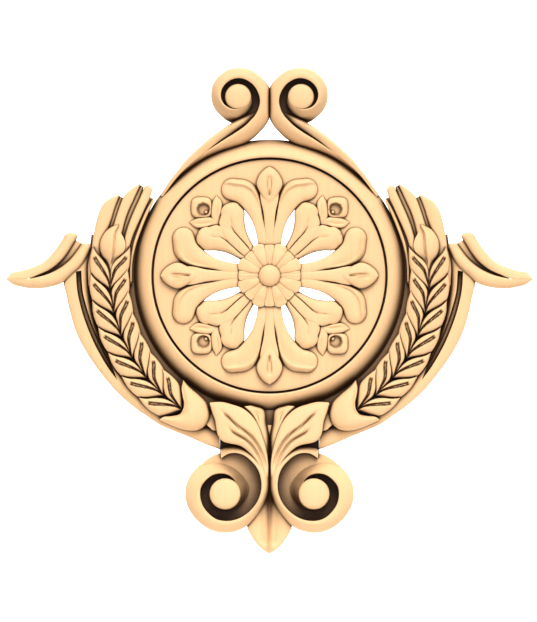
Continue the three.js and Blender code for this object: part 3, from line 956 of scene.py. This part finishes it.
@dataclass
class Wing(Ornament):
    """The curled wing tip, whose two lobes close to one dome at its point, and the crescent with its slit."""

    rise: Track = (0.46, 0.5, 0.54, 0.56, 0.58, 0.58, 0.56)
    upper: Stroke = Stroke(
        Section(left=0.62, right=(0.97, 0.97, 0.86, 0.7, 0.62), crest_at=(0.9, 0.7, 0.1, 0.0, 0.0),
                swell=2.0),
        rise, round_start=0.7, round_end=4.8, along=2.4, across=17,
        left=((-262.4, -2), (-257.5, 3), (-249.5, 4.5), (-239.5, 7.5), (-229.5, 11.5), (-221.5, 17.5),
              (-214.5, 25.5), (-209.5, 32.5), (-206, 38)),
        right=((-262.6, -3.4), (-253, -3.6), (-243.5, -3.6), (-229.5, 1.5), (-219.5, 6), (-209.5, 13.5),
               (-202.5, 21.5), (-197, 30), (-191.6, 38.6)))
    lower: Stroke = Stroke(
        Section(left=(0.97, 0.97, 0.86, 0.7, 0.62), right=0.62, crest_at=(-0.9, -0.7, -0.1, 0.0, 0.0),
                swell=2.0),
        rise, round_start=0.7, round_end=3.0, along=2.4, across=17,
        left=((-262.6, -3.2), (-253, -3.4), (-243.5, -3.6), (-229.5, -1), (-219.5, 2.5), (-209.5, 8),
              (-199.5, 16.5), (-192.5, 25.5), (-188.8, 30.6)),
        right=((-262.4, -4.6), (-255.5, -9.5), (-247.5, -11.5), (-239.5, -13), (-229.5, -13), (-219.5, -11.5),
               (-208, -7.8), (-199.5, -0.5), (-188, 9.5), (-180.4, 21.5), (-177.6, 28)))
    bed: Stroke = Stroke(
        Section(left=0.8, right=0.8, swell=2.0), (0.2, 0.28, 0.34, 0.38), along=2.5, across=7,
        spine=((-240, -2.8, 2), (-229.5, 0.2, 3), (-219.5, 4.2, 4), (-209.5, 10.8, 5), (-201, 19, 6),
               (-195, 27.5, 6.5), (-191, 34, 6.5)))
    crescent: Stroke = Stroke(
        Section(left=0.6, right=0.7, swell=2.2, crest_at=-0.1),
        (0.42, 0.42, 0.42, 0.42, 0.42, 0.4, 0.36, 0.3),
        left=((-177, 22), (-180.4, 10), (-180.6, -10), (-178, -30), (-173, -52), (-163, -74), (-149, -96),
              (-130, -118), (-107, -136), (-80, -148), (-50, -150)),
        right=((-198, 16), (-205, 2), (-206, -7.5), (-203.5, -18), (-199.5, -36.5), (-193.5, -56.5),
               (-184.5, -74.5), (-177.5, -85.5), (-166.5, -100.5), (-154.5, -114.5), (-139.5, -128.5),
               (-124.5, -139.5), (-109.5, -149.5), (-94.5, -156), (-79.5, -162), (-64.5, -168.5),
               (-49.5, -174)),
        along=3.2, across=19)
    slit: Stroke = Stroke(
        Section(left=0.72, right=0.72, swell=2.0), (0.2, 0.24, 0.24, 0.22), base=0.5 * RELIEF_DEPTH,
        along=3, across=9,
        left=((-188.2, 5), (-187.5, -8), (-186.5, -17), (-183, -31), (-178.5, -45.5), (-172.5, -60.5),
              (-165, -76), (-158.5, -88.5), (-152.4, -103.8)),
        right=((-193.6, 4), (-193, -8), (-192, -17), (-188, -34.5), (-183, -49.5), (-176, -66.5),
               (-167.5, -82.5), (-160, -94.5), (-152.6, -104)))

    def raised(self) -> list[Form]:
        """The two lobes of the tip, the bed between them, and the crescent."""
        return [self.upper, self.lower, self.bed, self.crescent]

    def cut(self) -> list[Form]:
        """The slit of the crescent, open above, with a floor that rises to its middle."""
        return [self.slit]


@dataclass
class WheatEar(Ornament):
    """An ear of wheat on an arc: pairs of veined grains at an even pitch, with a flame-shaped bud on top.

    A grain's knots are an angle back from its foot and a distance out from the stalk.
    """

    stalk: float = 160.5
    first: float = 184.9
    pitch: float = 8.73
    pairs: int = 7
    grain_lift: Track = (0.56, 0.66, 0.70, 0.70, 0.64)
    stalk_edge: float = 0.86
    free_edge: float = 0.78
    lean: float = 0.15
    vein_path: tuple[float, ...] = (0.5, 0.42, 0.3, 0.05, 0.0)
    vein_width: Track = (0.5, 1.1, 1.6, 1.9, 1.9)
    vein_rib: Track = (0.3, 0.5, 0.7, 0.9, 0.9)
    outer_low: tuple[Point, ...] = (
        (0, 0), (-1.3, 4.3), (-3.1, 11.1), (-5.4, 17.6), (-8.2, 19.6), (-11.1, 19.9), (-14.1, 18.6))
    outer_high: tuple[Point, ...] = (
        (0, 0), (-3.3, -0.9), (-5.6, -0.4), (-8.2, 2.3), (-10.4, 7.3), (-12.2, 13.3), (-14.2, 18.2))
    inner_low: tuple[Point, ...] = (
        (0, 0), (-2.4, -8.9), (-4.7, -15), (-6.9, -18.9), (-10.4, -20.3), (-13.3, -19.9), (-16.3, -18.4))
    inner_high: tuple[Point, ...] = (
        (0, 0), (-5.1, -1.5), (-8, -1.9), (-10.3, -5.3), (-12.4, -10.7), (-14.7, -15.6), (-16.5, -18.0))
    bud: Stroke = Stroke(
        Section(left=0.7, right=0.96, crest_at=(0.3, 0.2, 0.1, 0.1, 0.3), swell=1.7,
                lines=(Step((0.35, 0.25, 0.12, 0.1, 0.2, 0.45), 0.3, -0.24, 0.04, 1, 0.2),)),
        (0.6, 0.74, 0.85, 0.86, 0.78, 0.66),
        left=((-159.5, 5), (-163.5, 14.5), (-167.5, 19.5), (-169.5, 25.5), (-169.5, 32.5), (-167.5, 38.5),
              (-162.5, 45.5), (-156.5, 49.5), (-151, 51.4)),
        right=((-159.5, 5), (-155, 14), (-149.5, 19.5), (-145.5, 24.5), (-144, 30.5), (-145.5, 36.5),
               (-148.5, 42.5), (-149.6, 47), (-150.4, 51.2)), along=2.0, across=21)

    def grain(self, foot: float, low: tuple[Point, ...], high: tuple[Point, ...], outward: bool) -> Stroke:
        """Draws one grain from its foot on the stalk to its tip, with a bright rib in a dark vein.

        Args:
            foot: Angle of the foot about the medallion's centre, in degrees.
            low: Knots of the edge towards the foot of the ear.
            high: Knots of the edge towards its top.
            outward: Whether the grain leans away from the ring.

        Returns:
            The grain.
        """
        near = tuple(polar(foot + a, self.stalk + out) for a, out in low)
        far = tuple(polar(foot + a, self.stalk + out) for a, out in high)
        sign = 1 if outward else -1
        path = tuple(sign * at for at in self.vein_path)
        ends = (self.free_edge, self.stalk_edge) if outward else (self.stalk_edge, self.free_edge)
        section = Section(
            left=ends[0], right=ends[1], crest_at=self.lean * sign, swell=2.0,
            lines=(Line(path, self.vein_width, -0.16, 0.01, 0.8, 0.06, 4.0),
                   Line(path, self.vein_rib, 0.12, 0.3, 0.8, 0.15, 2.0)))
        edges = (near, far) if outward else (far, near)
        return Stroke(section, self.grain_lift, left=edges[0], right=edges[1], along=2.0, across=27)

    def raised(self) -> list[Form]:
        """Builds the grains in pairs from the foot up, and the bud.

        Returns:
            The forms of one ear.
        """
        made: list[Form] = []
        for k in range(self.pairs):
            foot = self.first + self.pitch * k
            made.append(self.grain(foot, self.outer_low, self.outer_high, True))
            made.append(self.grain(foot, self.inner_low, self.inner_high, False))
        made.append(self.bud)
        return made


@dataclass
class Cup(Ornament):
    """The cup that holds the ear: a round body between two horns, with a fine lip along its mouth."""

    body: Stroke = Stroke(
        Section(left=0.88, right=0.62, crest_at=-0.3, swell=2.0,
                lines=(Line((-0.6, -0.8, -0.86, -0.8, -0.6), 1.1, -0.05, 0.06, 0.94, 0.1),)),
        (0.66, 0.74, 0.8, 0.82, 0.8, 0.74, 0.62),
        left=((-86.5, -105), (-88, -112.5), (-87, -120.5), (-85.5, -127.5), (-86.2, -133.5), (-89.5, -138.5),
              (-97.5, -140.5), (-106.5, -141.5), (-110, -144)),
        right=((-86, -104.8), (-80, -111.5), (-69.5, -120.5), (-62, -129), (-59.5, -139.5), (-62.5, -148),
               (-70, -154), (-81.5, -155), (-91.5, -152.5), (-101.5, -148.5), (-110.2, -144.6)),
        along=2.0, across=25)

    def raised(self) -> list[Form]:
        """The body, from horn to horn."""
        return [self.body]


@dataclass
class Ground(Ornament):
    """The low ground between the ring, the ears and the leaves, and behind the flutes.

    The bed beside the ring keeps its inner edge on one radius. Its knots, and those of the bed behind the
    flutes, are an angle about the medallion's centre and a half width.
    """

    low: float = 0.125
    flute_level: float = 0.3
    inner_radius: float = 131.0
    beside_ring: tuple[Point, ...] = ((166, 26), (182, 26), (198, 26), (220, 25), (238, 21), (252, 14))
    flute_radius: float = 161.0
    behind_flutes: tuple[Point, ...] = ((190, 19), (176, 19), (166, 17))
    low_beds: tuple[Spine, ...] = (
        ((-37.5, -160, 12), (-37.5, -190, 12)),
        ((-212, 10, 6), (-190, 22, 10), (-179, 24, 8)),
        ((-66, -140, 15), (4, -140, 15)),
        ((-12, -140, 14), (-12, -180, 12)))
    stem_level: float = 0.2
    stem_bed: Spine = ((0, -128, 14), (0, -190, 10), (0, -215, 6))
    cup_level: float = 0.5
    cup_bed: Spine = ((-64, -146, 2), (-58, -146, 8), (-50, -146, 10))
    top: Section = Section(left=1.0, right=1.0)

    def bed(self, level: float, spine: Spine) -> Stroke:
        """A flat-topped bed of one level along a spine."""
        return Stroke(self.top, level, spine=spine, along=6, across=3)

    def raised(self) -> list[Form]:
        """Lays the beds.

        Returns:
            The beds of one side.
        """
        beside = tuple((*polar(angle, self.inner_radius + half), half) for angle, half in self.beside_ring)
        behind = tuple((*polar(angle, self.flute_radius), half) for angle, half in self.behind_flutes)
        return [
            self.bed(self.low, beside),
            self.bed(self.flute_level, behind),
            *(self.bed(self.low, spine) for spine in self.low_beds[:2]),
            self.bed(self.stem_level, self.stem_bed),
            self.bed(self.cup_level, self.cup_bed),
            *(self.bed(self.low, spine) for spine in self.low_beds[2:]),
        ]


@dataclass(frozen=True)
class ShadeReach:
    """A reach of painted shade: how far round counts, and how open its darkest and its clear places are.

    The least is the share of light wood that the darkest, most shaded places keep under the painted shade.
    """

    reach: float
    darkest: float
    clear: float
    least: float


@dataclass(frozen=True)
class CarvedWood:
    """Light, smoothly sanded wood: a fine upright grain, a soft sheen, and painted shade in its creases and
    hollows.

    The colour is light or dark by the grain's noise, then mixed towards a near-black painted-shade colour by
    how shut in a place is (ambient occlusion), within a fine reach and a broad one.
    """

    light: tuple[float, float, float] = (0.93, 0.60, 0.315)
    dark: tuple[float, float, float] = (0.86, 0.52, 0.26)
    # Near-black brown of the painted shade, mixed in where a place is shut in.
    painted_shade: tuple[float, float, float] = (0.05, 0.02, 0.006)
    roughness: float = 0.55
    gloss: float = 0.2
    # Reaches of the painted shade: creases and hollows are darkened by ambient occlusion, a fine reach and a
    # broad one.
    shade_reaches: tuple[ShadeReach, ShadeReach] = (ShadeReach(0.002, 0.3, 0.97, 0.12), ShadeReach(0.022, 0.3, 0.88, 0.0))
    shade_samples: int = 16
    grain_pitch: tuple[float, float, float] = (420.0, 420.0, 26.0)
    grain_detail: float = 5.0
    pore_strength: float = 0.06
    pore_depth: float = 0.0004

    def grain(self, nodes: bpy.types.Nodes, links: bpy.types.NodeLinks) -> bpy.types.NodeSocket:
        """Adds the grain: noise over the object's own place, drawn out along its height.

        Args:
            nodes: The material's nodes.
            links: Their links.

        Returns:
            The socket of the noise, from 0 to 1.
        """
        place = nodes.new("ShaderNodeTexCoord")
        stretch = nodes.new("ShaderNodeMapping")
        stretch.inputs["Scale"].default_value = self.grain_pitch
        links.new(place.outputs["Object"], stretch.inputs["Vector"])
        noise = nodes.new("ShaderNodeTexNoise")
        noise.inputs["Scale"].default_value = 1.0
        noise.inputs["Detail"].default_value = self.grain_detail
        links.new(stretch.outputs["Vector"], noise.inputs["Vector"])
        return noise.outputs["Fac"]

    def unshaded_share(
            self, painted_shade: ShadeReach, nodes: bpy.types.Nodes, links: bpy.types.NodeLinks) -> bpy.types.NodeSocket:
        """Adds one reach of painted shade: the share of open directions, eased between the darkest and the
        clear.

        Args:
            painted_shade: The reach and its shares.
            nodes: The material's nodes.
            links: Their links.

        Returns:
            The socket of the share, from the least to 1.
        """
        hidden = nodes.new("ShaderNodeAmbientOcclusion")
        hidden.samples = self.shade_samples
        hidden.inputs["Distance"].default_value = painted_shade.reach
        eased = nodes.new("ShaderNodeMapRange")
        eased.interpolation_type = "SMOOTHSTEP"
        eased.inputs["From Min"].default_value = painted_shade.darkest
        eased.inputs["From Max"].default_value = painted_shade.clear
        eased.inputs["To Min"].default_value = painted_shade.least
        links.new(hidden.outputs["AO"], eased.inputs["Value"])
        return eased.outputs["Result"]

    def build(self) -> bpy.types.Material:
        """Builds the node material.

        Returns:
            The material.
        """
        material = bpy.data.materials.new("carved_wood")
        material.use_nodes = True
        nodes, links = material.node_tree.nodes, material.node_tree.links
        shader = nodes["Principled BSDF"]
        shader.inputs["Roughness"].default_value = self.roughness
        shader.inputs["Specular IOR Level"].default_value = self.gloss

        grain = self.grain(nodes, links)
        wood = nodes.new("ShaderNodeMix")
        wood.data_type = "RGBA"
        wood.inputs["A"].default_value = (*self.light, 1)
        wood.inputs["B"].default_value = (*self.dark, 1)
        links.new(grain, wood.inputs["Factor"])

        # Painted shade: the wood colour is mixed towards the dark shade colour where ambient occlusion finds
        # the place shut in.
        shares = [self.unshaded_share(painted_shade, nodes, links) for painted_shade in self.shade_reaches]
        unshaded = nodes.new("ShaderNodeMath")
        unshaded.operation = "MULTIPLY"
        links.new(shares[0], unshaded.inputs[0])
        links.new(shares[1], unshaded.inputs[1])
        shade = nodes.new("ShaderNodeMix")
        shade.data_type = "RGBA"
        shade.inputs["A"].default_value = (*self.painted_shade, 1)
        links.new(unshaded.outputs["Value"], shade.inputs["Factor"])
        links.new(wood.outputs["Result"], shade.inputs["B"])
        links.new(shade.outputs["Result"], shader.inputs["Base Color"])

        pores = nodes.new("ShaderNodeBump")
        pores.inputs["Strength"].default_value = self.pore_strength
        pores.inputs["Distance"].default_value = self.pore_depth
        links.new(grain, pores.inputs["Height"])
        links.new(pores.outputs["Normal"], shader.inputs["Normal"])
        return material


@dataclass
class Carver:
    """Joins the raised forms, takes the cut ones away, planes the back, and dresses the carving."""

    ornaments: list[Ornament]
    name: str = "crest_carving"
    crease_angle: float = 34.0
    finish: CarvedWood = CarvedWood()
    waste_half: tuple[float, float] = (321.0, 318.0)
    waste_middle: float = -61.0
    waste_pitch: float = 20.0
    waste_rows: int = 33
    waste_depth: float = 4 * PLANED_OFF

    def gather(self, name: str, solids: list[Solid]) -> bpy.types.Collection:
        """Puts solids into a collection of their own.

        Args:
            name: Name of the collection.
            solids: The solids.

        Returns:
            The collection.
        """
        group = bpy.data.collections.new(name)
        bpy.context.scene.collection.children.link(group)
        for k, solid in enumerate(solids):
            group.objects.link(bpy.data.objects.new(f"{name}_{k}", solid.mesh(f"{name}_{k}")))
        return group

    def clear(self, group: bpy.types.Collection) -> None:
        """Removes a collection and what is in it.

        Args:
            group: The collection.
        """
        for tool in list(group.objects):
            bpy.data.objects.remove(tool)
        bpy.data.collections.remove(group)

    def waste(self) -> Solid:
        """Builds the slab behind the back, which the plane takes off.

        Its top is a fine grid of faces, so that the planed back becomes one too and not a single huge face.

        Returns:
            The slab.
        """
        across, half = self.waste_half
        spine = ((-across, self.waste_middle, half), (across, self.waste_middle, half))
        return Stroke(Section(left=1.0, right=1.0), 0.0, spine=spine, along=self.waste_pitch,
                      across=self.waste_rows, base=-self.waste_depth).solid()

    def forms(self) -> tuple[list[Solid], list[Solid]]:
        """Builds the ornaments in order, each solid's faces pointing outwards, and reports them.

        Returns:
            The raised solids and the cutters.
        """
        raised, cut = [], []
        for ornament in self.ornaments:
            raised_here, cut_here = ornament.raised_solids(), ornament.cut_solids()
            log.info("%s: %d raised, %d cut", type(ornament).__name__, len(raised_here), len(cut_here))
            raised += [solid.outward() for solid in raised_here]
            cut += [solid.outward() for solid in cut_here]
        return raised, cut

    def carve(self) -> bpy.types.Object:
        """Runs the two booleans: the union of the raised forms, less the cutters and the waste.

        Returns:
            The finished carving at the origin, its place in its mesh.
        """
        raised, cut = self.forms()
        blank = bpy.data.objects.new("blank", raised[0].mesh("blank"))
        bpy.context.scene.collection.objects.link(blank)
        groups = []
        for name, operation, solids in (
                ("raised", "UNION", raised[1:]), ("cut", "DIFFERENCE", [*cut, self.waste().outward()])):
            step = blank.modifiers.new(name, "BOOLEAN")
            step.operation, step.solver, step.operand_type = operation, "MANIFOLD", "COLLECTION"
            step.collection = self.gather(name, solids)
            groups.append(step.collection)
        bpy.context.view_layer.update()
        mesh = bpy.data.meshes.new_from_object(blank.evaluated_get(bpy.context.evaluated_depsgraph_get()))
        for group in groups:
            self.clear(group)
        bpy.data.objects.remove(blank)
        mesh.name = self.name
        mesh.shade_smooth()
        mesh.set_sharp_from_angle(angle=math.radians(self.crease_angle))
        carving = bpy.data.objects.new(self.name, mesh)
        bpy.context.scene.collection.objects.link(carving)
        return carving

    def dress(self, carving: bpy.types.Object) -> None:
        """Gives the carving its wood, hangs it on the root body, and hides the solid that it replaces.

        Args:
            carving: The finished carving.
        """
        carving.data.materials.clear()
        carving.data.materials.append(self.finish.build())
        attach(carving, "root")
        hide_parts("floral_crest")
        carving.data.calc_loop_triangles()
        log.info("%s: %d triangles", self.name, len(carving.data.loop_triangles))


@dataclass(frozen=True)
class Lamp:
    """A far lamp: its strength, how wide it looks, how high it stands and how far aside, in degrees."""

    name: str
    energy: float
    softness: float
    height: float
    aside: float


@dataclass(frozen=True)
class Sheet:
    """A flat sheet of the stage by its corners in metres, and how much it glows."""

    name: str
    corners: tuple[tuple[float, float, float], ...]
    glow: float


@dataclass
class Studio:
    """Plain pale ground and backdrop, soft frontal light from a little above, and the camera."""

    picture_width: int = 537
    picture_height: int = 622
    centre_column: float = 269.5
    centre_row: float = 275.5
    distance: float = 1.6
    lamps: tuple[Lamp, ...] = (Lamp("key", 3.35, 40, 46, 9), Lamp("front", 0.9, 60, 5, 0))
    surround: tuple[float, float, float] = (1.0, 0.99, 0.97)
    surround_strength: float = 0.22
    floor_level: float = -0.36
    floor_half: float = 1.2
    floor_front: float = -0.3
    wall_back: float = 2.5
    wall_half: float = 6.0
    paleness: float = 0.85
    matt: float = 0.9

    def camera(self) -> None:
        """Sets a camera square to the face.

        Its frame is as many squares of the paper wide and high as the picture is in pixels, and the
        medallion's centre falls on the picture's centre_column and centre_row.
        """
        data = bpy.data.cameras.new("camera")
        data.type = "ORTHO"
        data.ortho_scale = self.picture_height * UNIT
        camera = bpy.data.objects.new("camera", data)
        camera.location = ((self.picture_width / 2 - self.centre_column) * UNIT, -self.distance,
                           (self.centre_row - self.picture_height / 2) * UNIT)
        camera.rotation_euler = (math.pi / 2, 0.0, 0.0)
        bpy.context.scene.collection.objects.link(camera)
        bpy.context.scene.camera = camera

    def lights(self) -> None:
        """Sets a broad key from above, a weak light from the front, and a pale surround."""
        for lamp in self.lamps:
            data = bpy.data.lights.new(lamp.name, "SUN")
            data.energy, data.angle = lamp.energy, math.radians(lamp.softness)
            stand = bpy.data.objects.new(lamp.name, data)
            stand.rotation_euler = (math.radians(90 - lamp.height), 0.0, math.radians(lamp.aside))
            bpy.context.scene.collection.objects.link(stand)
        world = bpy.data.worlds.new("surround")
        world.use_nodes = True
        world.node_tree.nodes["Background"].inputs["Color"].default_value = (*self.surround, 1.0)
        world.node_tree.nodes["Background"].inputs["Strength"].default_value = self.surround_strength
        bpy.context.scene.world = world
        bpy.context.scene.view_settings.view_transform = "Standard"

    def pale(self, name: str, glow: float) -> bpy.types.Material:
        """Builds the matt pale material of a sheet.

        Args:
            name: Name of the material.
            glow: How much it glows.

        Returns:
            The material.
        """
        pale = bpy.data.materials.new(name)
        pale.use_nodes = True
        shader = pale.node_tree.nodes["Principled BSDF"]
        shader.inputs["Base Color"].default_value = (self.paleness, self.paleness, self.paleness, 1.0)
        shader.inputs["Roughness"].default_value = self.matt
        shader.inputs["Emission Color"].default_value = (1.0, 1.0, 1.0, 1.0)
        shader.inputs["Emission Strength"].default_value = glow
        return pale

    def stage(self) -> None:
        """Lays a pale floor below the crest and sets a white backdrop well behind it."""
        low, back, half, wall = self.floor_level, self.wall_back, self.floor_half, self.wall_half
        front = self.floor_front
        ground = ((-half, front, low), (half, front, low), (half, back, low), (-half, back, low))
        upright = ((-wall, back, low), (wall, back, low), (wall, back, wall), (-wall, back, wall))
        sheets = (Sheet("floor", ground, 0.0), Sheet("backdrop", upright, 1.0))
        for sheet in sheets:
            mesh = bpy.data.meshes.new(sheet.name)
            mesh.from_pydata(sheet.corners, [], [(0, 1, 2, 3)])
            mesh.materials.append(self.pale(sheet.name, sheet.glow))
            piece = bpy.data.objects.new(sheet.name, mesh)
            bpy.context.scene.collection.objects.link(piece)


def main() -> None:
    """Builds the carving from its ornaments in order, dresses it, and sets the studio."""
    logging.basicConfig(level=logging.INFO, format="%(message)s")
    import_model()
    carver = Carver([
        Medallion(), Rosette(), crown_volute(), foot_volute(), CrownTail(), AcanthusLeaf(), FootLeaf(),
        Flutes(), Wing(), WheatEar(), Cup(), Ground(),
    ])
    carver.dress(carver.carve())
    studio = Studio()
    studio.camera()
    studio.lights()
    studio.stage()


if __name__ == "__main__":
    main()
